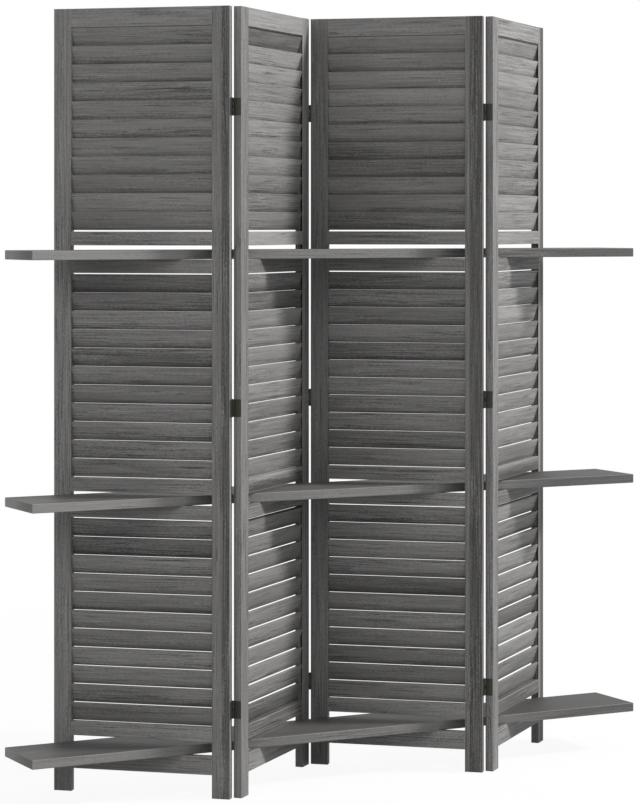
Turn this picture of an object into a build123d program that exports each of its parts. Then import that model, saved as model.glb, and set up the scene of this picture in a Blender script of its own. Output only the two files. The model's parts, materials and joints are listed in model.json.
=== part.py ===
from build123d import *
import os
from math import atan2, cos, degrees, radians, sin, tan

os.makedirs("parts", exist_ok=True)

# A folding screen of four louvred panels that stands in a zigzag. Three straight shelves run
# through slots in all four panels. Front is -Y and up is +Z. The origin lies on the ground at
# the middle of the screen, and every length is in millimetres.

# Panels
panel_width = 398.0
panel_height = 1700.0
panel_thickness = 18.0
rest_angle = 41.5  # degrees between each panel and the line of the screen

# Frame of a panel, from the ground up
stile_width = 40.0
foot_height = 50.0
bottom_rail_height = 39.7
slot_rail_height = 30.0
slot_heights = (32.0, 26.1, 30.0)
top_rail_height = 40.2
wood_arris = 0.8

# Mortise and tenon joints of the rails
tenon_thickness = 8.0
tenon_length = 20.0
tenon_shoulder = 5.0
joinery_clearance = 0.1

# Louvres: each slat leans with its top edge to the front
slat_count = 11
slat_thickness = 5.0
slat_front_recess = 1.0
slat_back_recess = 0.6
slat_overlap = 0.1  # in height, so that no light shows level between the slats
slat_housing_depth = 8.0
slat_play = 3.6  # the height of a bay that its slats leave over
slat_foot_margins = (1.6, 1.4, 3.1)  # of that under the lowest slat, from the lower bay up

# Shelves
shelf_depth = 161.0
shelf_overhang = 126.8  # beyond the outer panels at each end
shelf_thickness = 20.0
shelf_setback = 68.5  # from the front corners of the outer folds to the front edge
shelf_clearance = 0.3
shelf_arris = 1.0

# Butt hinges between the panels
bottom_hinge_centre = 189.5
top_hinge_drop = 215.7  # from the top of the panels to the middle of the top hinge
hinge_height = 38.0
leaf_thickness = 0.9
leaf_clearance = 0.1
leaf_inset = 0.9
barrel_radius = 1.9
barrel_clearance = 0.1
barrel_sides = 8  # the small barrels are faceted, and their pins are round
knuckle_count = 3
knuckle_gap = 0.3
knuckle_bore_radius = 1.0
knuckle_bore_sides = 8
pin_running_clearance = 0.05
pin_head_radius = 1.6
pin_head_height = 0.7

# Countersunk screws of the hinge leaves
screw_spacing = 22.0
screw_length = 12.0
screw_shank_radius = 1.1
screw_point_radius = 0.5
screw_sides = 6
screw_clearance = 0.05
countersink_slope = 45  # degrees from the screw's axis

# Heights of the rails, slots and louvre bays, worked out from the ground up
slot_count = len(slot_heights)
slot_rail_count = 2 * slot_count - 1
fixed_height = foot_height + bottom_rail_height + top_rail_height
fixed_height += sum(slot_heights) + slot_rail_count * slot_rail_height
bay_height = (panel_height - fixed_height) / slot_count
slot_floors = []
bay_floors = []
level = foot_height + bottom_rail_height
for slot_height in slot_heights:
    slot_floors.append(level)
    bay_floors.append(level + slot_height + slot_rail_height)
    level = bay_floors[-1] + bay_height + slot_rail_height

# Each rail is a floor height and a height
top_rails = [(panel_height - top_rail_height, top_rail_height)]
bottom_rails = [(foot_height, bottom_rail_height)]
upper_slot_rails = [(floor - slot_rail_height, slot_rail_height) for floor in bay_floors]
lower_slot_rails = [(floor + bay_height, slot_rail_height) for floor in bay_floors[:-1]]
all_rails = top_rails + bottom_rails + upper_slot_rails + lower_slot_rails

# Section of the slats, in a plane where X runs from the front face to the back and Y is up
slat_pitch = (bay_height - slat_play - slat_overlap) / slat_count
slat_room = panel_thickness - slat_thickness - slat_front_recess - slat_back_recess
slat_lean = atan2(slat_room, slat_pitch)
slat_rise = slat_pitch + slat_overlap - slat_thickness * sin(slat_lean)
slat_width = slat_rise / cos(slat_lean)
slat_half_run = (slat_width * sin(slat_lean) + slat_thickness * cos(slat_lean)) / 2
slat_drop = (slat_width * cos(slat_lean) + slat_thickness * sin(slat_lean)) / 2
slat_depth = slat_front_recess + slat_half_run
slat_centres = []
for bay_floor, foot_margin in zip(bay_floors, slat_foot_margins):
    lowest = bay_floor + foot_margin + slat_drop
    slat_centres.append([(slat_depth, lowest + slat_pitch * number) for number in range(slat_count)])

# The hinge pins stand in three upright lines, off the edge and the face of the panels
pin_to_edge = leaf_thickness + leaf_clearance
pin_to_face = barrel_radius + barrel_clearance
turn = radians(rest_angle)
panel_reach = panel_width + 2 * pin_to_edge
panel_offset = panel_thickness + 2 * pin_to_face
fold_spacing = panel_reach * cos(turn) + panel_offset * sin(turn)
fold_depth = panel_reach * sin(turn) - panel_offset * cos(turn)
left_pin = Vector(-fold_spacing, -fold_depth / 2)
middle_pin = Vector(0, fold_depth / 2)
right_pin = Vector(fold_spacing, -fold_depth / 2)


def panel_plane(pin, pin_along, pin_through, angle):
    # The panel's own ground plane: X along its width, Y from its front face to its back
    along = Vector(cos(angle), sin(angle))
    through = Vector(-sin(angle), cos(angle))
    corner = pin - along * pin_along - through * pin_through
    return Plane(origin=corner, x_dir=along, z_dir=Axis.Z.direction)


pin_beyond_back = panel_thickness + pin_to_face
panel_planes = [
    panel_plane(left_pin, panel_width + pin_to_edge, pin_beyond_back, -turn),
    panel_plane(left_pin, -pin_to_edge, pin_beyond_back, turn),
    panel_plane(middle_pin, -pin_to_edge, -pin_to_face, -turn),
    panel_plane(right_pin, -pin_to_edge, pin_beyond_back, turn),
]


def across(panel, distance):
    # A plane square to the panel's width, with X through the panel and Y up
    origin = panel.from_local_coords(Vector(distance, 0, 0))
    return Plane(origin=origin, x_dir=panel.y_dir, z_dir=panel.x_dir)


top_hinge_centre = panel_height - top_hinge_drop
hinge_centres = (bottom_hinge_centre, (bottom_hinge_centre + top_hinge_centre) / 2, top_hinge_centre)


def screw_planes(panel, distance, facing):
    # A plane at each screw of an edge of the panel, with Z pointing into the wood
    planes = []
    for centre in hinge_centres:
        for height in (centre - screw_spacing / 2, centre + screw_spacing / 2):
            origin = panel.from_local_coords(Vector(distance, panel_thickness / 2, height))
            planes.append(Plane(origin=origin, x_dir=panel.y_dir, z_dir=panel.x_dir * -facing))
    return planes


def save(builder, label):
    builder.part.label = label
    export_step(builder.part, f"parts/{label}.step")


# Stiles, with housings for the slats, mortises for the rails and pilot holes for the screws
screw_depth = screw_length - leaf_thickness
screw_taper = degrees(atan2(screw_shank_radius - screw_point_radius, screw_depth))


def make_stile(label, panel, outer, inner, hinged):
    facing = 1 if outer > inner else -1
    with BuildPart() as stile:
        with BuildSketch(panel) as section:
            with Locations(((outer + inner) / 2, panel_thickness / 2)):
                Rectangle(stile_width, panel_thickness)
            chamfer(section.vertices(), length=wood_arris)
        extrude(amount=panel_height)
        with BuildSketch(across(panel, inner)):
            for centres in slat_centres:
                with Locations(*centres):
                    Rectangle(
                        slat_thickness + 2 * joinery_clearance,
                        slat_width + 2 * joinery_clearance,
                        rotation=degrees(slat_lean),
                    )
        extrude(amount=facing * (slat_housing_depth + joinery_clearance), mode=Mode.SUBTRACT)
        with BuildSketch(across(panel, inner)):
            for floor, height in all_rails:
                with Locations((panel_thickness / 2, floor + height / 2)):
                    Rectangle(
                        tenon_thickness + 2 * joinery_clearance,
                        height - 2 * tenon_shoulder + 2 * joinery_clearance,
                    )
        extrude(amount=facing * (tenon_length + joinery_clearance), mode=Mode.SUBTRACT)
        if hinged:
            with BuildSketch(*screw_planes(panel, outer, facing)):
                RegularPolygon(screw_shank_radius + screw_clearance, screw_sides, major_radius=False)
            extrude(amount=screw_depth + screw_clearance, taper=screw_taper, mode=Mode.SUBTRACT)
    save(stile, label)


# Rails, each with a tenon at both ends
opening_width = panel_width - 2 * stile_width


def make_rails(label, panel, rails):
    with BuildPart() as rail_group:
        with BuildSketch(across(panel, stile_width)):
            for floor, height in rails:
                with Locations((panel_thickness / 2, floor + height / 2)):
                    Rectangle(panel_thickness, height)
        extrude(amount=opening_width)
        with BuildSketch(across(panel, stile_width - tenon_length)):
            for floor, height in rails:
                with Locations((panel_thickness / 2, floor + height / 2)):
                    Rectangle(tenon_thickness, height - 2 * tenon_shoulder)
        extrude(amount=opening_width + 2 * tenon_length)
    save(rail_group, label)


# Louvre bays: the slats end inside their housings in the stiles
def make_louvres(label, panel, centres):
    with BuildPart() as louvres:
        with BuildSketch(across(panel, stile_width - slat_housing_depth)):
            with Locations(*centres):
                Rectangle(slat_thickness, slat_width, rotation=degrees(slat_lean))
        extrude(amount=opening_width + 2 * slat_housing_depth)
    save(louvres, label)


stile_edges = {
    "left": (0, stile_width),
    "right": (panel_width, panel_width - stile_width),
}
hinged_edges = {
    "panel_1": ("right",),
    "panel_2": ("left", "right"),
    "panel_3": ("left", "right"),
    "panel_4": ("left",),
}
for panel_name, panel in zip(hinged_edges, panel_planes):
    for side, (outer, inner) in stile_edges.items():
        hinged = side in hinged_edges[panel_name]
        make_stile(f"{panel_name}_{side}_stile", panel, outer, inner, hinged)
    make_rails(f"{panel_name}_top_rail", panel, top_rails)
    make_rails(f"{panel_name}_upper_slot_rails", panel, upper_slot_rails)
    make_rails(f"{panel_name}_lower_slot_rails", panel, lower_slot_rails)
    make_rails(f"{panel_name}_bottom_rail", panel, bottom_rails)
    for bay_name, centres in zip(("lower", "middle", "upper"), slat_centres):
        make_louvres(f"{panel_name}_{bay_name}_louvres", panel, centres)

# Hinges: a leaf lies on each stile's edge, and its knuckles share the barrel with the other's
knuckle_height = (hinge_height - (knuckle_count - 1) * knuckle_gap) / knuckle_count
knuckle_step = knuckle_height + knuckle_gap
barrel_room = 2 * (barrel_radius + barrel_clearance)
screw_head_radius = screw_shank_radius + leaf_thickness * tan(radians(countersink_slope))


def make_leaves(label, panel, outer, facing, barrel_face, proud, empty_knuckles):
    pin_place = (outer + facing * pin_to_edge, barrel_face + proud * pin_to_face)
    tip = barrel_face - proud * (panel_thickness - leaf_inset)
    floors = [panel.offset(centre - hinge_height / 2) for centre in hinge_centres]
    with BuildPart() as leaves:
        with BuildSketch(*floors):
            with Locations((outer + facing * leaf_thickness / 2, (tip + pin_place[1]) / 2)):
                Rectangle(leaf_thickness, abs(pin_place[1] - tip))
            with Locations(pin_place):
                RegularPolygon(barrel_radius, barrel_sides)
                RegularPolygon(
                    knuckle_bore_radius, knuckle_bore_sides, major_radius=False, mode=Mode.SUBTRACT
                )
        extrude(amount=hinge_height)
        for number in empty_knuckles:
            below = number * knuckle_step - knuckle_gap
            with BuildSketch(*[floor.offset(below) for floor in floors]):
                with Locations(pin_place):
                    Rectangle(barrel_room, barrel_room)
            extrude(amount=knuckle_height + 2 * knuckle_gap, mode=Mode.SUBTRACT)
        with BuildSketch(*screw_planes(panel, outer + facing * leaf_thickness, facing)):
            RegularPolygon(screw_head_radius + screw_clearance, screw_sides, major_radius=False)
        extrude(amount=leaf_thickness, taper=countersink_slope, mode=Mode.SUBTRACT)
    save(leaves, label)


def make_pins(label, pin):
    shaft_height = hinge_height + 2 * (barrel_clearance + pin_head_height)
    floors = [Plane.XY.offset(centre - shaft_height / 2) for centre in hinge_centres]
    upper_heads = [floor.offset(shaft_height - pin_head_height) for floor in floors]
    with BuildPart() as pins:
        with BuildSketch(*floors):
            with Locations((pin.X, pin.Y)):
                Circle(knuckle_bore_radius - pin_running_clearance)
        extrude(amount=shaft_height)
        with BuildSketch(*floors, *upper_heads):
            with Locations((pin.X, pin.Y)):
                RegularPolygon(pin_head_radius, barrel_sides)
        extrude(amount=pin_head_height)
    save(pins, label)


# Screws: the head fills its countersink, and the shank tapers into the stile
def make_screws(label, panel, outer, facing):
    with BuildPart() as screws:
        with BuildSketch(*screw_planes(panel, outer + facing * leaf_thickness, facing)):
            RegularPolygon(screw_head_radius, screw_sides, major_radius=False)
        extrude(amount=leaf_thickness, taper=countersink_slope)
        with BuildSketch(*screw_planes(panel, outer, facing)):
            RegularPolygon(screw_shank_radius, screw_sides, major_radius=False)
        extrude(amount=screw_depth, taper=screw_taper)
    save(screws, label)


left_knuckles = tuple(range(0, knuckle_count, 2))
right_knuckles = tuple(range(1, knuckle_count, 2))
folds = {
    "left_fold": (left_pin, panel_planes[0], panel_planes[1], panel_thickness, 1),
    "middle_fold": (middle_pin, panel_planes[1], panel_planes[2], 0, -1),
    "right_fold": (right_pin, panel_planes[2], panel_planes[3], panel_thickness, 1),
}
for fold_name, (pin, left_panel, right_panel, barrel_face, proud) in folds.items():
    left_label = f"{fold_name}_left"
    right_label = f"{fold_name}_right"
    make_leaves(f"{left_label}_leaves", left_panel, panel_width, 1, barrel_face, proud, right_knuckles)
    make_leaves(f"{right_label}_leaves", right_panel, 0, -1, barrel_face, proud, left_knuckles)
    make_screws(f"{left_label}_screws", left_panel, panel_width, 1)
    make_screws(f"{right_label}_screws", right_panel, 0, -1)
    make_pins(f"{fold_name}_pins", pin)

# Shelves, each lying on the rails under its slots
screen_front = left_pin.Y - pin_beyond_back * cos(turn) + pin_to_edge * sin(turn)
shelf_middle = screen_front + shelf_setback + shelf_depth / 2
outer_corner = fold_spacing + (panel_width + pin_to_edge) * cos(turn) + pin_beyond_back * sin(turn)
shelf_length = 2 * (outer_corner + shelf_overhang)
for shelf_name, slot_floor in zip(("bottom", "middle", "top"), slot_floors):
    with BuildPart() as shelf:
        with BuildSketch(Plane.XY.offset(slot_floor + shelf_clearance)):
            with Locations((0, shelf_middle)):
                Rectangle(shelf_length, shelf_depth)
        extrude(amount=shelf_thickness)
        chamfer(shelf.edges(), length=shelf_arris)
    save(shelf, f"{shelf_name}_shelf")
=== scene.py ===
import json
import math
import random

import bmesh
import bpy
from mathutils import Matrix, Vector


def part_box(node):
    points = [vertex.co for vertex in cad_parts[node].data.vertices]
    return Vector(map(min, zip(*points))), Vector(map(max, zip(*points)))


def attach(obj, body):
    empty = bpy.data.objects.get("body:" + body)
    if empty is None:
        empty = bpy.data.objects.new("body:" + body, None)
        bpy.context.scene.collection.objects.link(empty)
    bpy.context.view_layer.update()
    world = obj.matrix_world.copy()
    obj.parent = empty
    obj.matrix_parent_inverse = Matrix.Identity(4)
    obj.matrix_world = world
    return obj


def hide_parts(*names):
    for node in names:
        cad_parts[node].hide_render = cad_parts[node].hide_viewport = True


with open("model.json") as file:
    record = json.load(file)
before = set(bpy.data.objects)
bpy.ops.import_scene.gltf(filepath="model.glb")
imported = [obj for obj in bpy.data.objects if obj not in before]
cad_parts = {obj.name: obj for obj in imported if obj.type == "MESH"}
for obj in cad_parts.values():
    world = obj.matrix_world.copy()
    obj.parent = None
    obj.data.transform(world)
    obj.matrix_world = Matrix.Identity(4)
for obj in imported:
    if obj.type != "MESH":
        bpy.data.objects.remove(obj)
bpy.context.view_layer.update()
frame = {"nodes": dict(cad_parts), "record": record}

# A zigzag folding screen of grey stained, louvred panels with three straight shelves.
# Metres, +Z up, front at -Y. The panels and shelves are the CAD pieces with their edges
# eased; the hinges are remade with round barrels, rounded leaves and cross headed screws.

mm = 0.001
panelTurn = math.radians(41.5)       # each panel against the line of the screen
panelTurns = {
    "panel_1": -panelTurn,
    "panel_2": panelTurn,
    "panel_3": -panelTurn,
    "panel_4": panelTurn,
}
slatCount = 11
slatOverlap = 0.1 * mm
slatLean = math.radians(15.9)


def bodyOf(nodeName):
    for bodyName, members in frame["record"]["behaviour"]["bodies"].items():
        if nodeName in members:
            return bodyName


# Shader helpers

def addNode(tree, kind, **settings):
    node = tree.nodes.new(kind)
    for name, value in settings.items():
        setattr(node, name, value)
    return node


def setInputs(node, **values):
    for name, value in values.items():
        node.inputs[name].default_value = value


def mathNode(tree, operation, first, second=None, third=None, clamp=False):
    node = addNode(tree, "ShaderNodeMath", operation=operation, use_clamp=clamp)
    for index, value in enumerate((first, second, third)):
        if value is None:
            continue
        if isinstance(value, (int, float)):
            node.inputs[index].default_value = value
        else:
            tree.links.new(value, node.inputs[index])
    return node.outputs[0]


def vectorMath(tree, operation, first, second):
    node = addNode(tree, "ShaderNodeVectorMath", operation=operation)
    for index, value in enumerate((first, second)):
        if isinstance(value, (tuple, list)):
            node.inputs[index].default_value = value
        else:
            tree.links.new(value, node.inputs[index])
    return node.outputs[0]


def smoothStep(tree, value, low, high):
    node = addNode(tree, "ShaderNodeMapRange", interpolation_type="SMOOTHSTEP")
    tree.links.new(value, node.inputs["Value"])
    node.inputs["From Min"].default_value = low
    node.inputs["From Max"].default_value = high
    return node.outputs["Result"]


def noiseTexture(tree, vector, detail, roughness=0.5, distortion=0.0):
    node = addNode(tree, "ShaderNodeTexNoise")
    tree.links.new(vector, node.inputs["Vector"])
    node.inputs["Scale"].default_value = 1.0
    node.inputs["Detail"].default_value = detail
    node.inputs["Roughness"].default_value = roughness
    node.inputs["Distortion"].default_value = distortion
    return node.outputs["Fac"]


def newGroup(name, inputs, outputs):
    group = bpy.data.node_groups.new(name, "ShaderNodeTree")
    for socketName, kind, value in inputs:
        socket = group.interface.new_socket(socketName, in_out="INPUT", socket_type=kind)
        if value is not None:
            socket.default_value = value
    for socketName, kind in outputs:
        group.interface.new_socket(socketName, in_out="OUTPUT", socket_type=kind)
    return group, group.nodes.new("NodeGroupInput"), group.nodes.new("NodeGroupOutput")


def srgb(level, warmth=0.0):
    # A near neutral grey from its 0 to 255 screen level, a little redder than it is blue
    channels = [(level + warmth) / 255, level / 255, (level - warmth) / 255]
    linear = [c / 12.92 if c <= 0.04045 else ((c + 0.055) / 1.055) ** 2.4 for c in channels]
    return (*linear, 1.0)


# Stained grain: X runs along the grain, in metres

grainLook = {
    "darkest": 66,            # screen levels
    "dark": 96,
    "middle": 122,
    "light": 142,
    "lightest": 160,
    "warmth": 1.2,
    "waver": 5 * mm,          # how far the lines wander across the board
    "broad": 0.35,            # how much each layer of the grain lightens and darkens the board
    "streak": 0.95,
    "fibre": 0.6,
    "rings": 0.1,
    "dash": 0.25,
    "plain": 0.6,             # the strength of the grain on the plainest boards
    "figure": 0.9,            # how much stronger it is in patches, and from board to board
    "boardFigure": 1.0,
    "poreDepth": 0.3,
    "roughness": 0.5,
    "fibreRoughness": 0.18,
    "streakHeight": 0.5,      # how much each layer raises or hollows the surface
    "fibreHeight": 0.5,
    "poreHeight": -0.6,
}
grainScales = {               # how fine each layer is, per metre along the grain and across it
    "waver": (3.5, 18.0),
    "broad": (2.0, 30.0),
    "streak": (6.0, 360.0),
    "fibre": (170.0, 620.0),
    "dash": (9.0, 300.0),
    "patch": (5.0, 40.0),
    "rings": (2.2, 60.0),
    "pores": (60.0, 1500.0),
}
grainSteps = {                # where each layer's marks start, and where they are full
    "dash": (0.63, 0.72),
    "patch": (0.45, 0.62),
    "pores": (0.62, 0.74),
}
boardShift = (31.0, 7.0, 7.0)  # the farthest that two boards lie apart in the grain
rampStops = ((0.0, "darkest"), (0.3, "dark"), (0.5, "middle"), (0.7, "light"), (1.0, "lightest"))


def buildGrainGroup():
    tree, given, result = newGroup(
        "stainedGrain",
        [
            ("Vector", "NodeSocketVector", None),
            ("Board", "NodeSocketFloat", 0.0),
            ("Tone", "NodeSocketFloat", 0.0),
            ("Contrast", "NodeSocketFloat", 1.0),
            ("Board Spread", "NodeSocketFloat", 0.12),
        ],
        [
            ("Color", "NodeSocketColor"),
            ("Roughness", "NodeSocketFloat"),
            ("Height", "NodeSocketFloat"),
        ],
    )

    def scaled(vector, name):
        along, over = grainScales[name]
        return vectorMath(tree, "MULTIPLY", vector, (along, over, over))

    def pull(value, amount, onto):
        centred = mathNode(tree, "SUBTRACT", value, 0.5)
        return mathNode(tree, "MULTIPLY_ADD", centred, amount, onto)

    board = addNode(tree, "ShaderNodeTexWhiteNoise", noise_dimensions="1D")
    tree.links.new(given.outputs["Board"], board.inputs["W"])
    chances = addNode(tree, "ShaderNodeSeparateColor")
    tree.links.new(board.outputs["Color"], chances.inputs[0])
    shift = vectorMath(tree, "MULTIPLY", board.outputs["Color"], boardShift)
    place = vectorMath(tree, "ADD", given.outputs["Vector"], shift)

    wander = addNode(tree, "ShaderNodeTexNoise")
    tree.links.new(scaled(place, "waver"), wander.inputs["Vector"])
    setInputs(wander, Scale=1.0, Detail=2.0)
    centred = vectorMath(tree, "SUBTRACT", wander.outputs["Color"], (0.5, 0.5, 0.5))
    waver = 2 * grainLook["waver"]
    bent = vectorMath(tree, "MULTIPLY", centred, (0.0, waver, waver))
    line = vectorMath(tree, "ADD", place, bent)

    broad = noiseTexture(tree, scaled(line, "broad"), 2.0)
    streak = noiseTexture(tree, scaled(line, "streak"), 2.0, 0.6)
    fibre = noiseTexture(tree, scaled(line, "fibre"), 1.0)
    dashes = noiseTexture(tree, scaled(line, "dash"), 1.0)
    dash = smoothStep(tree, dashes, *grainSteps["dash"])
    patch = noiseTexture(tree, scaled(place, "patch"), 1.0)
    figured = smoothStep(tree, patch, *grainSteps["patch"])

    rings = addNode(tree, "ShaderNodeTexWave", wave_type="BANDS", bands_direction="Y")
    tree.links.new(scaled(line, "rings"), rings.inputs["Vector"])
    setInputs(rings, Scale=1.0, Distortion=7.0, Detail=2.0)
    rings.inputs["Detail Scale"].default_value = 1.3

    strength = mathNode(tree, "MULTIPLY_ADD", figured, grainLook["figure"], grainLook["plain"])
    boardFigure = grainLook["boardFigure"]
    strength = mathNode(tree, "MULTIPLY_ADD", chances.outputs["Red"], boardFigure, strength)
    tone = mathNode(tree, "SUBTRACT", streak, 0.5)
    tone = mathNode(tree, "MULTIPLY", tone, grainLook["streak"])
    tone = pull(fibre, grainLook["fibre"], tone)
    tone = mathNode(tree, "MULTIPLY_ADD", dash, -grainLook["dash"], tone)
    tone = mathNode(tree, "MULTIPLY", tone, strength)
    tone = pull(broad, grainLook["broad"], tone)
    tone = pull(rings.outputs["Fac"], grainLook["rings"], tone)
    tone = mathNode(tree, "MULTIPLY", tone, given.outputs["Contrast"])
    tone = pull(board.outputs["Value"], given.outputs["Board Spread"], tone)
    tone = mathNode(tree, "ADD", tone, given.outputs["Tone"])
    level = mathNode(tree, "ADD", tone, 0.5, clamp=True)

    ramp = addNode(tree, "ShaderNodeValToRGB")
    while len(ramp.color_ramp.elements) < len(rampStops):
        ramp.color_ramp.elements.new(0.5)
    for element, (position, name) in zip(ramp.color_ramp.elements, rampStops):
        element.position = position
        element.color = srgb(grainLook[name], grainLook["warmth"])
    tree.links.new(level, ramp.inputs["Fac"])

    pores = noiseTexture(tree, scaled(line, "pores"), 1.0)
    pore = smoothStep(tree, pores, *grainSteps["pores"])
    shade = mathNode(tree, "MULTIPLY_ADD", pore, -grainLook["poreDepth"], 1.0)
    darkened = addNode(tree, "ShaderNodeMix", data_type="RGBA", blend_type="MULTIPLY")
    darkened.inputs["Factor"].default_value = 1.0
    tree.links.new(ramp.outputs["Color"], darkened.inputs["A"])
    tree.links.new(shade, darkened.inputs["B"])
    tree.links.new(darkened.outputs["Result"], result.inputs["Color"])

    spread, base = grainLook["fibreRoughness"], grainLook["roughness"]
    rough = mathNode(tree, "MULTIPLY_ADD", fibre, spread, base)
    tree.links.new(rough, result.inputs["Roughness"])
    height = mathNode(tree, "MULTIPLY", fibre, grainLook["fibreHeight"])
    height = mathNode(tree, "MULTIPLY_ADD", streak, grainLook["streakHeight"], height)
    height = mathNode(tree, "MULTIPLY_ADD", pore, grainLook["poreHeight"], height)
    tree.links.new(height, result.inputs["Height"])
    return tree


# Eased edges: the stain is thinner wherever a face looks along none of the board's own axes, and a
# painted highlight lies there too

edgeFlatness = (0.9, 0.985)   # how squarely a face looks along an axis, from bare to stained


def buildEdgeGroup():
    group, given, result = newGroup(
        "easedEdge",
        [("Normal", "NodeSocketVector", None)],
        [("Mask", "NodeSocketFloat")],
    )
    split = addNode(group, "ShaderNodeSeparateXYZ")
    group.links.new(given.outputs["Normal"], split.inputs[0])
    sizes = [mathNode(group, "ABSOLUTE", axis) for axis in split.outputs]
    largest = mathNode(group, "MAXIMUM", mathNode(group, "MAXIMUM", sizes[0], sizes[1]), sizes[2])
    flat = smoothStep(group, largest, *edgeFlatness)
    mask = mathNode(group, "SUBTRACT", 1.0, flat)
    group.links.new(mask, result.inputs["Mask"])
    return group


# Board number: which board of a node a height belongs to, and how far up that board it is

def buildBoardGroup():
    group, given, result = newGroup(
        "boardNumber",
        [
            ("Height", "NodeSocketFloat", 0.0),
            ("First", "NodeSocketFloat", 0.0),
            ("Pitch", "NodeSocketFloat", 1.0),
            ("Start", "NodeSocketFloat", 0.0),
        ],
        [("Board", "NodeSocketFloat"), ("Number", "NodeSocketFloat"), ("Share", "NodeSocketFloat")],
    )
    above = mathNode(group, "SUBTRACT", given.outputs["Height"], given.outputs["First"])
    place = mathNode(group, "DIVIDE", above, given.outputs["Pitch"])
    number = mathNode(group, "FLOOR", place)
    board = mathNode(group, "ADD", number, given.outputs["Start"])
    group.links.new(board, result.inputs["Board"])
    group.links.new(number, result.inputs["Number"])
    group.links.new(mathNode(group, "SUBTRACT", place, number), result.inputs["Share"])
    return group


endPlaceStart = 0.1           # the place of an end face's middle, counted towards its back
oneBoard = (-10.0, 100.0)     # a first height and a pitch that make a whole node one board
finish = {
    "gloss": 0.35,
    "bumpDistance": 0.4 * mm,
    "wornAndHighlightLevel": 172,         # the screen level of eased edges, where the stain is thin and a highlight is painted
    "wornAndHighlightWarmth": 2,
    "shadowLineLevel": 30,          # and that of edges in the shadow of the next piece
    "darkSlat": -0.2,
}

grainGroup = buildGrainGroup()
edgeGroup = buildEdgeGroup()
boardGroup = buildBoardGroup()
print("shared shader groups built")


def groupNode(tree, group):
    node = addNode(tree, "ShaderNodeGroup")
    node.node_tree = group
    return node


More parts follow.
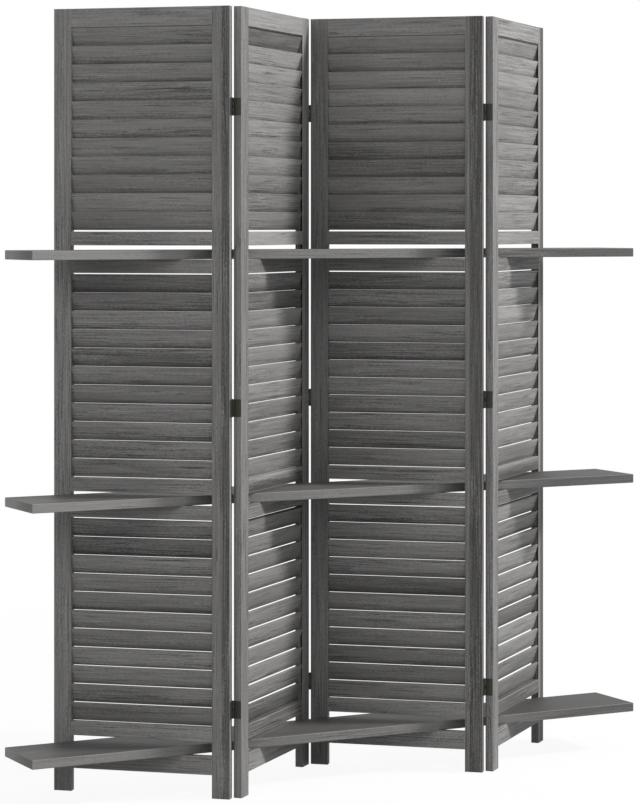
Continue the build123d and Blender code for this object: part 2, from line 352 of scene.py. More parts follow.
def woodMaterial(name, look, turn=0.0, centre=(0, 0, 0), lean=0.0, upright=False):
    # Object coordinates are turned into the board's own: along, through and up
    material = bpy.data.materials.new(name)
    material.use_nodes = True
    tree = material.node_tree
    tree.nodes.clear()
    output = addNode(tree, "ShaderNodeOutputMaterial")
    shader = addNode(tree, "ShaderNodeBsdfPrincipled")
    tree.links.new(shader.outputs["BSDF"], output.inputs["Surface"])

    source = addNode(tree, "ShaderNodeTexCoord")
    turned = addNode(tree, "ShaderNodeMapping", vector_type="POINT")
    turned.inputs["Rotation"].default_value = (0, 0, -turn)
    turned.inputs["Location"].default_value = -(Matrix.Rotation(-turn, 3, "Z") @ Vector(centre))
    tree.links.new(source.outputs["Object"], turned.inputs["Vector"])
    facing = addNode(tree, "ShaderNodeMapping", vector_type="VECTOR")
    facing.inputs["Rotation"].default_value = (0, 0, -turn)
    tree.links.new(source.outputs["Normal"], facing.inputs["Vector"])
    place, normal = turned.outputs["Vector"], facing.outputs["Vector"]
    upward = addNode(tree, "ShaderNodeSeparateXYZ")
    tree.links.new(place, upward.inputs[0])

    if lean:
        leant = []
        for vector in (place, normal):
            mapping = addNode(tree, "ShaderNodeMapping", vector_type="VECTOR")
            mapping.inputs["Rotation"].default_value = (-lean, 0, 0)
            tree.links.new(vector, mapping.inputs["Vector"])
            leant.append(mapping.outputs["Vector"])
        place, normal = leant
    if upright:
        swap = addNode(tree, "ShaderNodeSeparateXYZ")
        join = addNode(tree, "ShaderNodeCombineXYZ")
        tree.links.new(place, swap.inputs[0])
        for old, new in (("Z", "X"), ("X", "Y"), ("Y", "Z")):
            tree.links.new(swap.outputs[old], join.inputs[new])
        place = join.outputs[0]

    board = groupNode(tree, boardGroup)
    tree.links.new(upward.outputs["Z"], board.inputs["Height"])
    first, pitch = look.get("first", oneBoard[0]), look.get("pitch", oneBoard[1])
    setInputs(board, First=first, Pitch=pitch, Start=look["start"])
    grain = groupNode(tree, grainGroup)
    tree.links.new(place, grain.inputs["Vector"])
    tree.links.new(board.outputs["Board"], grain.inputs["Board"])
    setInputs(grain, Contrast=look["contrast"])
    grain.inputs["Board Spread"].default_value = look["boardSpread"]
    # Each shade is a smooth step of one measure, from one value of it to another, and its depth
    facings = addNode(tree, "ShaderNodeSeparateXYZ")
    tree.links.new(facing.outputs["Vector"], facings.inputs[0])
    front = mathNode(tree, "MULTIPLY", facings.outputs["Y"], -1.0)
    broadFace = mathNode(tree, "ABSOLUTE", front)
    end = mathNode(tree, "ABSOLUTE", facings.outputs["X"])
    backward = mathNode(tree, "ADD", upward.outputs["Y"], endPlaceStart)
    measures = {
        "width": upward.outputs["X"],
        "height": upward.outputs["Z"],
        "share": board.outputs["Share"],
        "front": front,
        "frontWidth": mathNode(tree, "MULTIPLY", front, upward.outputs["X"]),
        "faceWidth": mathNode(tree, "MULTIPLY", broadFace, upward.outputs["X"]),
        "end": end,
        "endPlace": mathNode(tree, "MULTIPLY", end, backward),
    }

    def stepOf(measure, low, high):
        return smoothStep(tree, measures[measure], low, high)

    tone = look["tone"]
    for measure, low, high, depth in look.get("shades", ()):
        tone = mathNode(tree, "MULTIPLY_ADD", stepOf(measure, low, high), depth, tone)
    for number in look.get("darkBoards", ()):
        dark = mathNode(tree, "COMPARE", board.outputs["Number"], number, 0.5)
        tone = mathNode(tree, "MULTIPLY_ADD", dark, finish["darkSlat"], tone)
    if isinstance(tone, float):
        setInputs(grain, Tone=tone)
    else:
        tree.links.new(tone, grain.inputs["Tone"])
    for measure, low, high, more in look.get("figures", ()):
        figured = stepOf(measure, low, high)
        contrast = mathNode(tree, "MULTIPLY_ADD", figured, more, look["contrast"])
        tree.links.new(contrast, grain.inputs["Contrast"])
    stain = grain.outputs["Color"]
    # Painted shadow lines: the stain is mixed towards the dark level of edges in the shadow of the
    # next piece
    for measure, low, high, depth in look.get("seams", ()):
        seam = addNode(tree, "ShaderNodeMix", data_type="RGBA")
        cover = mathNode(tree, "MULTIPLY", stepOf(measure, low, high), depth)
        tree.links.new(cover, seam.inputs["Factor"])
        tree.links.new(stain, seam.inputs["A"])
        seam.inputs["B"].default_value = srgb(finish["shadowLineLevel"])
        stain = seam.outputs["Result"]

    # Eased edges turn paler: thinner stain, and a painted highlight
    edge = groupNode(tree, edgeGroup)
    tree.links.new(normal, edge.inputs["Normal"])
    wearAndHighlight = mathNode(tree, "MULTIPLY", edge.outputs["Mask"], look["edgeWearAndHighlight"])
    wornAndHighlighted = addNode(tree, "ShaderNodeMix", data_type="RGBA")
    tree.links.new(wearAndHighlight, wornAndHighlighted.inputs["Factor"])
    tree.links.new(stain, wornAndHighlighted.inputs["A"])
    wornAndHighlighted.inputs["B"].default_value = srgb(finish["wornAndHighlightLevel"], finish["wornAndHighlightWarmth"])
    tree.links.new(wornAndHighlighted.outputs["Result"], shader.inputs["Base Color"])
    tree.links.new(grain.outputs["Roughness"], shader.inputs["Roughness"])
    bump = addNode(tree, "ShaderNodeBump")
    setInputs(bump, Strength=look["bump"], Distance=finish["bumpDistance"])
    tree.links.new(grain.outputs["Height"], bump.inputs["Height"])
    tree.links.new(bump.outputs["Normal"], shader.inputs["Normal"])
    shader.inputs["Specular IOR Level"].default_value = finish["gloss"]
    return material


# Woodwork: the CAD pieces, welded and with their edges eased

stileLook = {"contrast": 0.8, "tone": 0.09, "boardSpread": 0.06, "edgeWearAndHighlight": 0.3, "bump": 0.35}
railLook = {"contrast": 0.75, "tone": 0.12, "boardSpread": 0.12, "edgeWearAndHighlight": 0.85, "bump": 0.35}
slatLook = {"contrast": 0.75, "tone": -0.05, "boardSpread": 0.3, "edgeWearAndHighlight": 0.3, "bump": 0.35}
shelfLook = {"contrast": 0.4, "tone": 0.01, "boardSpread": 0.04, "edgeWearAndHighlight": 0.25, "bump": 0.2}
easing = {"stile": 0.3 * mm, "rail": 0.8 * mm, "slat": 0.3 * mm, "shelf": 0.35 * mm}
slatShades = [                         # painted shade: darker low down, where each slat lies behind the next
    ("share", 0.0, 0.38, 0.17),
    ("share", 0.38, 1.0, 0.04),
]
jointShade = -0.45                     # on the stiles, along the rails and the ends of the slats
# Painted light: a left stile's end faces are paler than its broad faces
stileShades = {
    "left": [("faceWidth", 18.4 * mm, 19.2 * mm, jointShade), ("end", 0.3, 0.9, 0.15)],
    "right": [("faceWidth", -19.2 * mm, -18.4 * mm, -jointShade)],
}
# A shade grows with its measure, so a right stile starts dark and is cleared beyond the joint
stileTones = {"left": 0.0, "right": jointShade}
bandEdge = 0.6 * mm                    # half the width over which the heartwood darkens
bandFigure = 0.45                      # how much stronger the grain is beyond it
stileBands = {                         # where the darker heartwood starts, from the stile's middle
    "panel_1_right_stile": (2.0 * mm, -0.3),
    "panel_2_right_stile": (-4.5 * mm, -0.13),
    "panel_3_right_stile": (-9.5 * mm, -0.28),
    "panel_4_right_stile": (-5.0 * mm, -0.6),
}
stileShadowLines = {                         # edges in the shadow of the next panel
    "panel_2_right_stile": [("faceWidth", 16.5 * mm, 17.8 * mm, 0.8)],
    "panel_3_left_stile": [("faceWidth", -17.8 * mm, -18.8 * mm, 0.8)],
    "panel_2_left_stile": [("endPlace", endPlaceStart + 6.0 * mm, endPlaceStart + 7.6 * mm, 0.6)],
    "panel_4_left_stile": [("endPlace", endPlaceStart + 5.5 * mm, endPlaceStart + 7.5 * mm, 0.4)],
}
darkSlats = {                          # slats cut from darker wood, from the foot of their bay; on panel 2's middle bay they also carry painted shade
    "panel_1_upper_louvres": (7,),
    "panel_1_middle_louvres": (6, 10),
    "panel_1_lower_louvres": (9, 10),
    "panel_2_upper_louvres": (1, 10),
    "panel_2_middle_louvres": (1, 9, 10),
    "panel_2_lower_louvres": (0,),
    "panel_3_upper_louvres": (0, 3, 4),
    "panel_3_middle_louvres": (6, 10),
    "panel_3_lower_louvres": (6, 10),
    "panel_4_upper_louvres": (2, 3),
    "panel_4_middle_louvres": (6, 10),
    "panel_4_lower_louvres": (4, 9),
}
shelfShades = [                        # painted light: the front edge and the ends are paler than the top, and the board changes tone along its length
    ("front", 0.3, 0.9, 0.24),
    ("frontWidth", -0.7, -0.2, -0.28),
    ("end", 0.3, 0.9, 0.11),
    ("endPlace", endPlaceStart - 0.07, endPlaceStart + 0.07, 0.42),
    ("width", -0.4, -0.1, 0.1),
    ("width", 0.25, 0.6, -0.32),
]
railShade = {                          # the rails over the shelves, on the panels turned away
    "low": 0.3,                        # how dark the lowest one is
    "middle": 0.58,                    # and the foot of the middle one, which fades to its head
    "top": {"panel_2": 0.2, "panel_4": 0.0},  # how much lighter than its kind the top one is
    "railFoot": 651.8 * mm,            # of the middle one
    "below": (-0.2, -0.1),             # where these steps lie, in height from that foot
    "across": (6 * mm, 30 * mm),
    "above": (0.2, 0.3),
    "edgeWearAndHighlight": 0.1,                   # on the rails under the shelves
}
# Painted light on single pieces: a painted highlight on the front of panel 1's right stile's end
# face, and lighter and darker stretches along the shelves
ownShades = {
    "panel_1_right_stile": [
        ("endPlace", endPlaceStart - 10 * mm, endPlaceStart - 9.6 * mm, 0.35),
        ("endPlace", endPlaceStart - 3 * mm, endPlaceStart + 1 * mm, -0.35),
    ],
    "top_shelf": [("frontWidth", -0.3, -0.1, -0.08), ("frontWidth", 0.2, 0.5, 0.08)],
    "middle_shelf": [("width", 0.25, 0.6, -0.12), ("frontWidth", 0.25, 0.6, 0.12)],
    "bottom_shelf": [("frontWidth", 0.2, 0.5, 0.12)],
}
ownContrasts = {"panel_3_left_stile": 0.45}
ownTones = {                           # boards that are darker or lighter than their kind
    "panel_3_left_stile": -0.1,
    "panel_2_left_stile": -0.06,
    "panel_4_left_stile": -0.12,
    "panel_4_right_stile": -0.05,
    "panel_2_top_rail": 0.1,
    "panel_4_top_rail": -0.05,
    "panel_2_lower_slot_rails": -0.2,
    "panel_4_lower_slot_rails": -0.33,
    "panel_4_bottom_rail": -0.15,
    "panel_1_upper_louvres": 0.09,
    "panel_3_upper_louvres": 0.09,
    "panel_2_middle_louvres": 0.03,
    "panel_2_lower_louvres": 0.03,
    "panel_4_lower_louvres": -0.04,
    "bottom_shelf": -0.06,
}
slatHeads = {                          # painted shade and a painted shadow line at the head of a bay, down from its top
    "shade": (2.4 * mm, 0.8 * mm),
    "seam": (4.8 * mm, 3.6 * mm),
    "shadowLineDepth": 0.95,
}
turnedAway = ("panel_2", "panel_4")    # these panels face away from the light
railPitch = 0.5                        # no two rails of a node lie within the same half metre
railNumbers = 4                        # board numbers kept for one node of rails
easingAngle = math.radians(30)         # edges sharper than this are eased
flatAngle = math.radians(1)
weldDistance = 0.01 * mm


def easeEdges(node, width, segments=2):
    weld = node.modifiers.new("weld", "WELD")
    weld.merge_threshold = weldDistance
    flat = node.modifiers.new("flat", "DECIMATE")
    flat.decimate_type = "DISSOLVE"
    flat.angle_limit = flatAngle
    ease = node.modifiers.new("ease", "BEVEL")
    ease.width = width
    ease.segments = segments
    ease.limit_method = "ANGLE"
    ease.angle_limit = easingAngle


def middleOf(nodeName):
    low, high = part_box(nodeName)
    return (low + high) / 2


def dress(nodeName, look, firstBoard, easingWidth, turn=0.0, **placing):
    node = frame["nodes"][nodeName]
    look["start"] = firstBoard
    look["tone"] += ownTones.get(nodeName, 0.0)
    material = woodMaterial(nodeName + "Wood", look, turn, middleOf(nodeName), **placing)
    node.data.materials.clear()
    node.data.materials.append(material)
    easeEdges(node, easingWidth)


def lookOfStile(nodeName, side):
    look = dict(stileLook, shades=stileShades[side] + ownShades.get(nodeName, []))
    look["tone"] += stileTones[side]
    look["contrast"] = ownContrasts.get(nodeName, look["contrast"])
    look["seams"] = stileShadowLines.get(nodeName, ())
    if nodeName in stileBands:
        edge, depth = stileBands[nodeName]
        look["shades"].append(("width", edge - bandEdge, edge + bandEdge, depth))
        look["figures"] = [("width", edge - bandEdge, edge + bandEdge, bandFigure)]
    return look


def lookOfRails(nodeName, panelName, kind):
    middle = middleOf(nodeName).z
    look = dict(railLook, first=-middle, pitch=railPitch)
    if panelName in turnedAway and kind == "upper_slot_rails":
        foot = railShade["railFoot"] - middle
        depths = {
            "below": railShade["low"] - railShade["middle"],
            "across": railShade["middle"],
            "above": railShade["top"][panelName],
        }
        look["tone"] -= railShade["low"]
        look["shades"] = []
        for name, depth in depths.items():
            low, high = railShade[name]
            look["shades"].append(("height", foot + low, foot + high, depth))
    if panelName in turnedAway and kind == "lower_slot_rails":
        look["edgeWearAndHighlight"] = railShade["edgeWearAndHighlight"]
    return look


def lookOfSlats(nodeName, panelName, bay):
    low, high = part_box(nodeName)
    top = (high.z - low.z) / 2
    look = dict(slatLook, shades=slatShades, darkBoards=darkSlats[nodeName])
    look["pitch"] = (high.z - low.z - slatOverlap) / slatCount
    look["first"] = (low.z - high.z + slatOverlap) / 2
    # Painted shade under the top rail, on the head of an upper bay's top slat
    if bay == "upper":
        shadeFrom, shadeTo = slatHeads["shade"]
        look["shades"] = slatShades + [("height", top - shadeFrom, top - shadeTo, jointShade)]
    # A painted shadow line under the rail, at the head of the upper and lower bays of panels 2 and
    # 4
    if bay != "middle" and panelName in turnedAway:
        shadowLineFrom, shadowLineTo = slatHeads["seam"]
        look["seams"] = [("height", top - shadowLineFrom, top - shadowLineTo, slatHeads["shadowLineDepth"])]
    return look


start = 0                              # the number of the next board, which sets its grain
for panelName, turn in panelTurns.items():
    for side in ("left", "right"):
        nodeName = f"{panelName}_{side}_stile"
        look = lookOfStile(nodeName, side)
        dress(nodeName, look, start, easing["stile"], turn, upright=True)
        start += 1
    for kind in ("top_rail", "upper_slot_rails", "lower_slot_rails", "bottom_rail"):
        nodeName = f"{panelName}_{kind}"
        dress(nodeName, lookOfRails(nodeName, panelName, kind), start, easing["rail"], turn)
        start += railNumbers
    for bay in ("upper", "middle", "lower"):
        nodeName = f"{panelName}_{bay}_louvres"
        look = lookOfSlats(nodeName, panelName, bay)
        dress(nodeName, look, start, easing["slat"], turn, lean=slatLean)
        start += slatCount
for nodeName in ("top_shelf", "middle_shelf", "bottom_shelf"):
    look = dict(shelfLook, shades=shelfShades + ownShades[nodeName])
    dress(nodeName, look, start, easing["shelf"])
    start += 1
print("woodwork dressed,", start, "boards")

# Hinges, remade in place: X runs from the pin to the wood, Y along the leaf to its tip, in mm

hinge = {
    "height": 38.0,
    "pinLength": 39.6,
    "leafNear": 0.1,                   # the leaf's two faces, from the middle of the pin
    "leafFar": 1.0,
    "leafTip": 19.1,
    "cornerRadius": 2.2,
    "barrelRadius": 1.9,
    "boreRadius": 1.0,
    "knuckles": 3,
    "knuckleGap": 0.3,
    "recess": 2.0,                     # how far a leaf keeps off the other leaf's knuckles
    "knuckleSeat": 0.1,                # how far a leaf keeps off the bore of its own knuckles
    "knuckleSoftness": 0.2,
    "cornerSteps": 5,
    "pinRadius": 0.95,
    "pinHeadRadius": 1.6,
    "pinHeadHeight": 0.7,
    "pinDome": ((0, 0), (0.5, 0.05), (0.85, 0.25), (1, 0.5)),  # share of the radius, and depth
    "screwPlace": 11.0,                # along the leaf
    "screwSpacing": 22.0,
    "screwHeadRadius": 2.0,
    "screwShankRadius": 1.1,
    "screwPointRadius": 0.5,
    "screwLength": 12.0,
    "crossReach": 1.25,
    "crossWidth": 0.5,
    "crossDepth": 0.5,
    "crossTaper": 0.75,                # the size of the recess at its foot
    "holeClearance": 0.05,
    "segments": 24,
    "edgeEasing": 0.12 * mm,
    "easingAngle": 40,                 # degrees
    "weld": 0.0005,
}
folds = {
    "left_fold": ("panel_1", "panel_2", 1),
    "middle_fold": ("panel_2", "panel_3", -1),
    "right_fold": ("panel_3", "panel_4", 1),
}


def circle(centre, radius):
    points = []
    for index in range(hinge["segments"]):
        angle = 2 * math.pi * index / hinge["segments"]
        points.append((centre[0] + radius * math.cos(angle), centre[1] + radius * math.sin(angle)))
    return points


def addRing(bm, points):
    return [bm.verts.new(point) for point in points]


def joinRings(bm, first, second):
    for index, vertex in enumerate(first):
        following = (index + 1) % len(first)
        bm.faces.new((vertex, first[following], second[following], second[index]))


def capRings(bm, *rings):
    edges = []
    for ring in rings:
        for pair in zip(ring, ring[1:] + ring[:1]):
            edges.append(bm.edges.get(pair) or bm.edges.new(pair))
    bmesh.ops.triangle_fill(bm, use_beauty=True, edges=edges)


def lathe(bm, profile, base):
    # Turns a profile of radius and height about the upright line through the pin
    verts = [bm.verts.new((radius, 0, base + height)) for radius, height in profile]
    pairs = list(zip(verts, verts[1:]))
    if profile[0][0] > 0:
        pairs.append((verts[-1], verts[0]))
    edges = [bm.edges.new(pair) for pair in pairs]
    bmesh.ops.spin(
        bm,
        geom=verts + edges,
        cent=(0, 0, 0),
        axis=(0, 0, 1),
        dvec=(0, 0, 0),
        angle=2 * math.pi,
        steps=hinge["segments"],
        use_merge=True,
        use_duplicate=False,
    )


def leafOutline(ownKnuckles):
    tip, corner = hinge["leafTip"], hinge["cornerRadius"]
    near, far = hinge["boreRadius"] + hinge["knuckleSeat"], hinge["recess"]
    points = []
    for centreHeight, startAngle in ((corner, -90), (hinge["height"] - corner, 0)):
        for step in range(hinge["cornerSteps"] + 1):
            angle = math.radians(startAngle + 90 * step / hinge["cornerSteps"])
            distance = tip - corner + corner * math.cos(angle)
            points.append((distance, centreHeight + corner * math.sin(angle)))
    gaps = (hinge["knuckles"] - 1) * hinge["knuckleGap"]
    knuckleHeight = (hinge["height"] - gaps) / hinge["knuckles"]
    levels = []
    for number in range(hinge["knuckles"]):
        low = number * (knuckleHeight + hinge["knuckleGap"])
        if number in ownKnuckles:
            levels.append((near, low, low + knuckleHeight))
        else:
            low, high = low - hinge["knuckleGap"], low + knuckleHeight + hinge["knuckleGap"]
            levels.append((far, max(low, 0), min(high, hinge["height"])))
    for distance, low, high in reversed(levels):
        points += [(distance, high), (distance, low)]
    return points, [low for distance, low, high in levels if distance == near], knuckleHeight


def buildLeaves(bm, base, ownKnuckles):
    outline, ownFloors, knuckleHeight = leafOutline(ownKnuckles)
    middle, reach = hinge["height"] / 2, hinge["screwSpacing"] / 2
    holes = [(hinge["screwPlace"], middle + side * reach) for side in (-1, 1)]
    faces = []
    sheets = (
        (hinge["leafNear"], hinge["screwHeadRadius"]),
        (hinge["leafFar"], hinge["screwShankRadius"]),
    )
    for depth, radius in sheets:
        rings = [outline] + [circle(hole, radius + hinge["holeClearance"]) for hole in holes]
        rings = [addRing(bm, [(depth, y, base + z) for y, z in ring]) for ring in rings]
        capRings(bm, *rings)
        faces.append(rings)
    for nearRing, farRing in zip(*faces):
        joinRings(bm, nearRing, farRing)
    inner, outer, soft = hinge["boreRadius"], hinge["barrelRadius"], hinge["knuckleSoftness"]
    for floor in ownFloors:
        profile = [(inner, 0), (outer - soft, 0), (outer, soft), (outer, knuckleHeight - soft)]
        profile += [(outer - soft, knuckleHeight), (inner, knuckleHeight)]
        lathe(bm, profile, base + floor)


def buildPin(bm, base):
    shaft, head, height = hinge["pinRadius"], hinge["pinHeadRadius"], hinge["pinHeadHeight"]
    dome = [(head * share, depth) for share, depth in hinge["pinDome"]] + [(head, height)]
    top = [(radius, hinge["pinLength"] - level) for radius, level in reversed(dome)]
    lathe(bm, dome + [(shaft, height), (shaft, hinge["pinLength"] - height)] + top, base)


def buildScrew(bm, place, turn):
    reach, half = hinge["crossReach"], hinge["crossWidth"] / 2
    cross = []
    for quarter in range(4):
        for x, y in ((reach, -half), (reach, half), (half, half)):
            angle = turn + quarter * math.pi / 2
            cosine, sine = math.cos(angle), math.sin(angle)
            cross.append((x * cosine - y * sine, x * sine + y * cosine))

    def ringAt(points, depth, scale=1.0):
        return addRing(bm, [(depth, place[0] + y * scale, place[1] + z * scale) for y, z in points])

    near, far = hinge["leafNear"], hinge["leafFar"]
    unitCircle = circle((0, 0), 1.0)
    head = ringAt(unitCircle, near, hinge["screwHeadRadius"])
    mouth = ringAt(cross, near)
    seat = ringAt(cross, near + hinge["crossDepth"], hinge["crossTaper"])
    neck = ringAt(unitCircle, far, hinge["screwShankRadius"])
    point = ringAt(unitCircle, near + hinge["screwLength"], hinge["screwPointRadius"])
    capRings(bm, head, mouth)
    joinRings(bm, mouth, seat)
    capRings(bm, seat)
    joinRings(bm, head, neck)
    joinRings(bm, neck, point)
    capRings(bm, point)


bronzeLook = {
    "stops": (
        (0.3, (0.026, 0.026, 0.018, 1)),
        (0.75, (0.045, 0.045, 0.033, 1)),
    ),
    "cloudScale": 160.0,
    "speckScale": 1800.0,
    "speckAmount": 0.6,
    "roughness": 0.42,
    "cloudRoughness": 0.2,
    "metallic": 0.25,
    "bump": 0.2,
    "bumpDistance": 0.1 * mm,
    "seedStep": 3.7,                   # how far apart the patterns of two pieces lie
}


def bronzeMaterial(name, seed):
    material = bpy.data.materials.new(name)
    material.use_nodes = True
    tree = material.node_tree
    tree.nodes.clear()
    output = addNode(tree, "ShaderNodeOutputMaterial")
    shader = addNode(tree, "ShaderNodeBsdfPrincipled")
    tree.links.new(shader.outputs["BSDF"], output.inputs["Surface"])
    source = addNode(tree, "ShaderNodeTexCoord")
    place = vectorMath(tree, "ADD", source.outputs["Object"], (seed, 0.0, 0.0))

    def speckled(scale, detail):
        finer = vectorMath(tree, "MULTIPLY", place, (scale, scale, scale))
        return noiseTexture(tree, finer, detail)

    cloud = speckled(bronzeLook["cloudScale"], 3.0)
    speck = speckled(bronzeLook["speckScale"], 2.0)
    blend = mathNode(tree, "SUBTRACT", speck, 0.5)
    blend = mathNode(tree, "MULTIPLY_ADD", blend, bronzeLook["speckAmount"], cloud, clamp=True)
    ramp = addNode(tree, "ShaderNodeValToRGB")
    for element, (position, color) in zip(ramp.color_ramp.elements, bronzeLook["stops"]):
        element.position = position
        element.color = color
    tree.links.new(blend, ramp.inputs["Fac"])
    tree.links.new(ramp.outputs["Color"], shader.inputs["Base Color"])
    spread, base = bronzeLook["cloudRoughness"], bronzeLook["roughness"]
    rough = mathNode(tree, "MULTIPLY_ADD", cloud, spread, base)
    tree.links.new(rough, shader.inputs["Roughness"])
    bump = addNode(tree, "ShaderNodeBump")
    setInputs(bump, Strength=bronzeLook["bump"], Distance=bronzeLook["bumpDistance"])
    tree.links.new(speck, bump.inputs["Height"])
    tree.links.new(bump.outputs["Normal"], shader.inputs["Normal"])
    setInputs(shader, Metallic=bronzeLook["metallic"])
    return material


def hingePiece(nodeName, place, build, *choices, ease=True):
    bm = bmesh.new()
    low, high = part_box(nodeName[:nodeName.index("_fold") + 5] + "_pins")
    half = hinge["pinLength"] / 2
    bottom, top = low.z / mm + half, high.z / mm - half
    for centre in (bottom, (bottom + top) / 2, top):
        build(bm, centre, *choices)
    bmesh.ops.remove_doubles(bm, verts=bm.verts, dist=hinge["weld"])
    bmesh.ops.transform(bm, matrix=place @ Matrix.Scale(mm, 4), verts=bm.verts)
    bmesh.ops.recalc_face_normals(bm, faces=bm.faces)
    mesh = bpy.data.meshes.new(nodeName + "_round")
    bm.to_mesh(mesh)
    bm.free()
    seed = bronzeLook["seedStep"] * len(bpy.data.materials)
    mesh.materials.append(bronzeMaterial(nodeName + "Metal", seed))
    piece = bpy.data.objects.new(nodeName + "_round", mesh)
    bpy.context.scene.collection.objects.link(piece)
    if ease:
        soft = piece.modifiers.new("ease", "BEVEL")
        soft.width = hinge["edgeEasing"]
        soft.segments = 2
        soft.limit_method = "ANGLE"
        soft.angle_limit = math.radians(hinge["easingAngle"])
    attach(piece, bodyOf(nodeName))
    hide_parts(nodeName)
    return piece


chance = random.Random(7)


def buildScrews(bm, centre):
    for step in (-0.5, 0.5):
        place = (hinge["screwPlace"], centre + step * hinge["screwSpacing"])
        buildScrew(bm, place, chance.uniform(0, math.pi / 2))


for foldName, (leftPanel, rightPanel, proud) in folds.items():
    low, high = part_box(foldName + "_pins")
    pin = Matrix.Translation(((low.x + high.x) / 2, (low.y + high.y) / 2, 0))
    hingePiece(
        foldName + "_pins",
        pin,
        lambda bm, centre: buildPin(bm, centre - hinge["pinLength"] / 2),
        ease=False,
    )
    for side, panelName, woodward in (("left", leftPanel, -1), ("right", rightPanel, 1)):
        turn = panelTurns[panelName]
        along = Vector((math.cos(turn), math.sin(turn), 0)) * woodward
        tipward = Vector((math.sin(turn), -math.cos(turn), 0)) * proud
        axes = Matrix((along, tipward, Vector((0, 0, 1)))).transposed().to_4x4()
        ownKnuckles = (0, 2) if side == "left" else (1,)
        hingePiece(
            f"{foldName}_{side}_leaves",
            pin @ axes,
            lambda bm, centre: buildLeaves(bm, centre - hinge["height"] / 2, ownKnuckles),
        )
        hingePiece(f"{foldName}_{side}_screws", pin @ axes, buildScrews, ease=False)
print("hinges remade")

# Floor, light and camera

studio = {
    "floorSize": 40.0,
    "floorLevel": 165,                 # screen level by which it lights the screen
    "floorPaint": 245,                 # and the one that the camera sees
    "floorWhite": 0.93,                # near the screen; further off the floor is wholly white
    "whiteFrom": 1.6,
    "whiteBeyond": 3.5,
    "skyStrength": 0.5,
}
lamps = {
    "keyLight": {
        "strength": 3.1,               # at the target
        "spread": 9.0,                 # degrees across, which sets how soft its shadows are
        "bearing": 27.0,               # degrees in front of +X
        "height": 33.7,                # degrees above the horizon
        "distance": 7.5,
        "target": (0, 0, 0.9),
    },
    "fillLight": {
        "strength": 0.32,
        "spread": 25.0,
        "bearing": 150.0,
        "height": 22.0,
        "distance": 3.6,
        "target": (-0.3, 0, 0.9),
    },
}


def whiteToView(tree):
    # 1 for rays from the camera, mirrors and glass, and 0 for the rest
    path = addNode(tree, "ShaderNodeLightPath")
    seen = mathNode(tree, "MAXIMUM", path.outputs["Is Camera Ray"], path.outputs["Is Glossy Ray"])
    return mathNode(tree, "MAXIMUM", seen, path.outputs["Is Transmission Ray"])


def buildFloor():
    bm = bmesh.new()
    bmesh.ops.create_grid(bm, x_segments=1, y_segments=1, size=studio["floorSize"] / 2)
    mesh = bpy.data.meshes.new("studioFloor")
    bm.to_mesh(mesh)
    bm.free()
    floor = bpy.data.objects.new("studioFloor", mesh)
    bpy.context.scene.collection.objects.link(floor)
    material = bpy.data.materials.new("paleFloor")
    material.use_nodes = True
    tree = material.node_tree
    tree.nodes.clear()
    output = addNode(tree, "ShaderNodeOutputMaterial")
    blend = addNode(tree, "ShaderNodeMixShader")
    paint = addNode(tree, "ShaderNodeBsdfDiffuse")
    seen = whiteToView(tree)
    shade = addNode(tree, "ShaderNodeMix", data_type="RGBA")
    tree.links.new(seen, shade.inputs["Factor"])
    shade.inputs["A"].default_value = srgb(studio["floorLevel"])
    shade.inputs["B"].default_value = srgb(studio["floorPaint"])
    tree.links.new(shade.outputs["Result"], paint.inputs["Color"])
    glow = addNode(tree, "ShaderNodeEmission")
    source = addNode(tree, "ShaderNodeTexCoord")
    reach = addNode(tree, "ShaderNodeVectorMath", operation="LENGTH")
    tree.links.new(source.outputs["Object"], reach.inputs[0])
    far = smoothStep(tree, reach.outputs["Value"], studio["whiteFrom"], studio["whiteBeyond"])
    white = mathNode(tree, "MULTIPLY_ADD", far, 1 - studio["floorWhite"], studio["floorWhite"])
    tree.links.new(mathNode(tree, "MULTIPLY", seen, white), blend.inputs[0])
    tree.links.new(paint.outputs[0], blend.inputs[1])
    tree.links.new(glow.outputs[0], blend.inputs[2])
    tree.links.new(blend.outputs[0], output.inputs["Surface"])
    mesh.materials.append(material)


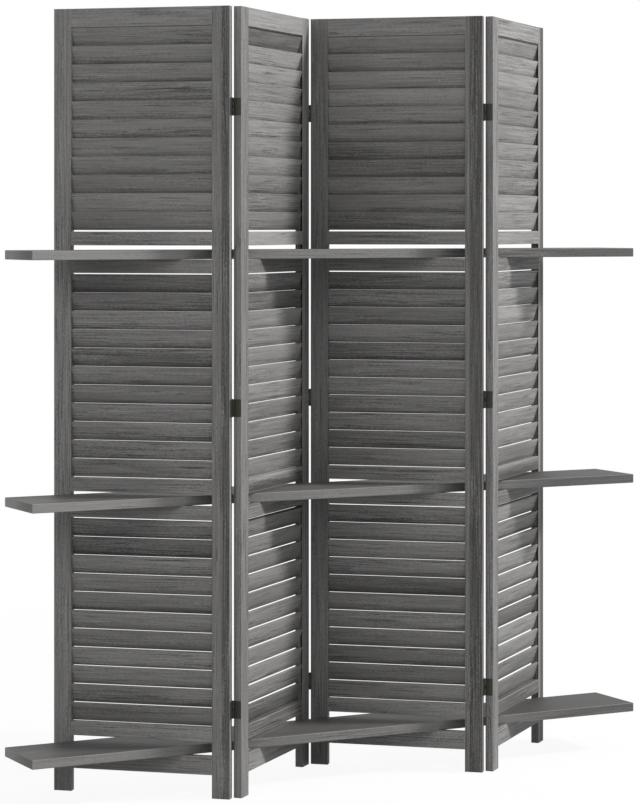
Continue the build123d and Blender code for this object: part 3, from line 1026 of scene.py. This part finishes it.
def buildWorld():
    world = bpy.data.worlds.new("studioWorld")
    bpy.context.scene.world = world
    world.use_nodes = True
    tree = world.node_tree
    tree.nodes.clear()
    output = addNode(tree, "ShaderNodeOutputWorld")
    sky = addNode(tree, "ShaderNodeBackground")
    strength = studio["skyStrength"]
    lift = mathNode(tree, "MULTIPLY_ADD", whiteToView(tree), 1 - strength, strength)
    tree.links.new(lift, sky.inputs["Strength"])
    setInputs(sky, Color=(1, 1, 1, 1))
    tree.links.new(sky.outputs[0], output.inputs["Surface"])


def buildLamp(name, lamp):
    distance = lamp["distance"]
    light = bpy.data.lights.new(name, "AREA")
    light.shape = "DISK"
    light.size = 2 * distance * math.tan(math.radians(lamp["spread"]) / 2)
    light.energy = lamp["strength"] * math.pi * distance ** 2
    holder = bpy.data.objects.new(name, light)
    bpy.context.scene.collection.objects.link(holder)
    bearing, height = math.radians(lamp["bearing"]), math.radians(lamp["height"])
    toLight = Vector((
        math.cos(bearing) * math.cos(height),
        -math.sin(bearing) * math.cos(height),
        math.sin(height),
    ))
    holder.location = Vector(lamp["target"]) + toLight * distance
    holder.rotation_euler = toLight.to_track_quat("Z", "Y").to_euler()


view = {
    "place": (-2.8149, -5.3603, 1.2285),
    "turn": -27.03,
    "focalPixels": 2701.3,
    "frame": (640, 804),
    "sightPixel": (303.5, 225.7),      # where the level line of sight meets the picture
    "sensor": 36.0,
    "farthest": 100.0,
}


def buildCamera():
    camera = bpy.data.objects.new("photoCamera", bpy.data.cameras.new("photoCamera"))
    bpy.context.scene.collection.objects.link(camera)
    width, height = view["frame"]
    camera.data.sensor_width = view["sensor"]
    camera.data.lens = view["focalPixels"] * view["sensor"] / height
    camera.data.shift_x = (width / 2 - view["sightPixel"][0]) / height
    camera.data.shift_y = (view["sightPixel"][1] - height / 2) / height
    camera.data.clip_end = view["farthest"]
    camera.location = view["place"]
    camera.rotation_euler = (math.radians(90), 0, math.radians(view["turn"]))
    bpy.context.scene.camera = camera


buildFloor()
buildWorld()
for lampName, lamp in lamps.items():
    buildLamp(lampName, lamp)
buildCamera()
bpy.context.scene.view_settings.view_transform = "Standard"
print("studio and camera set")
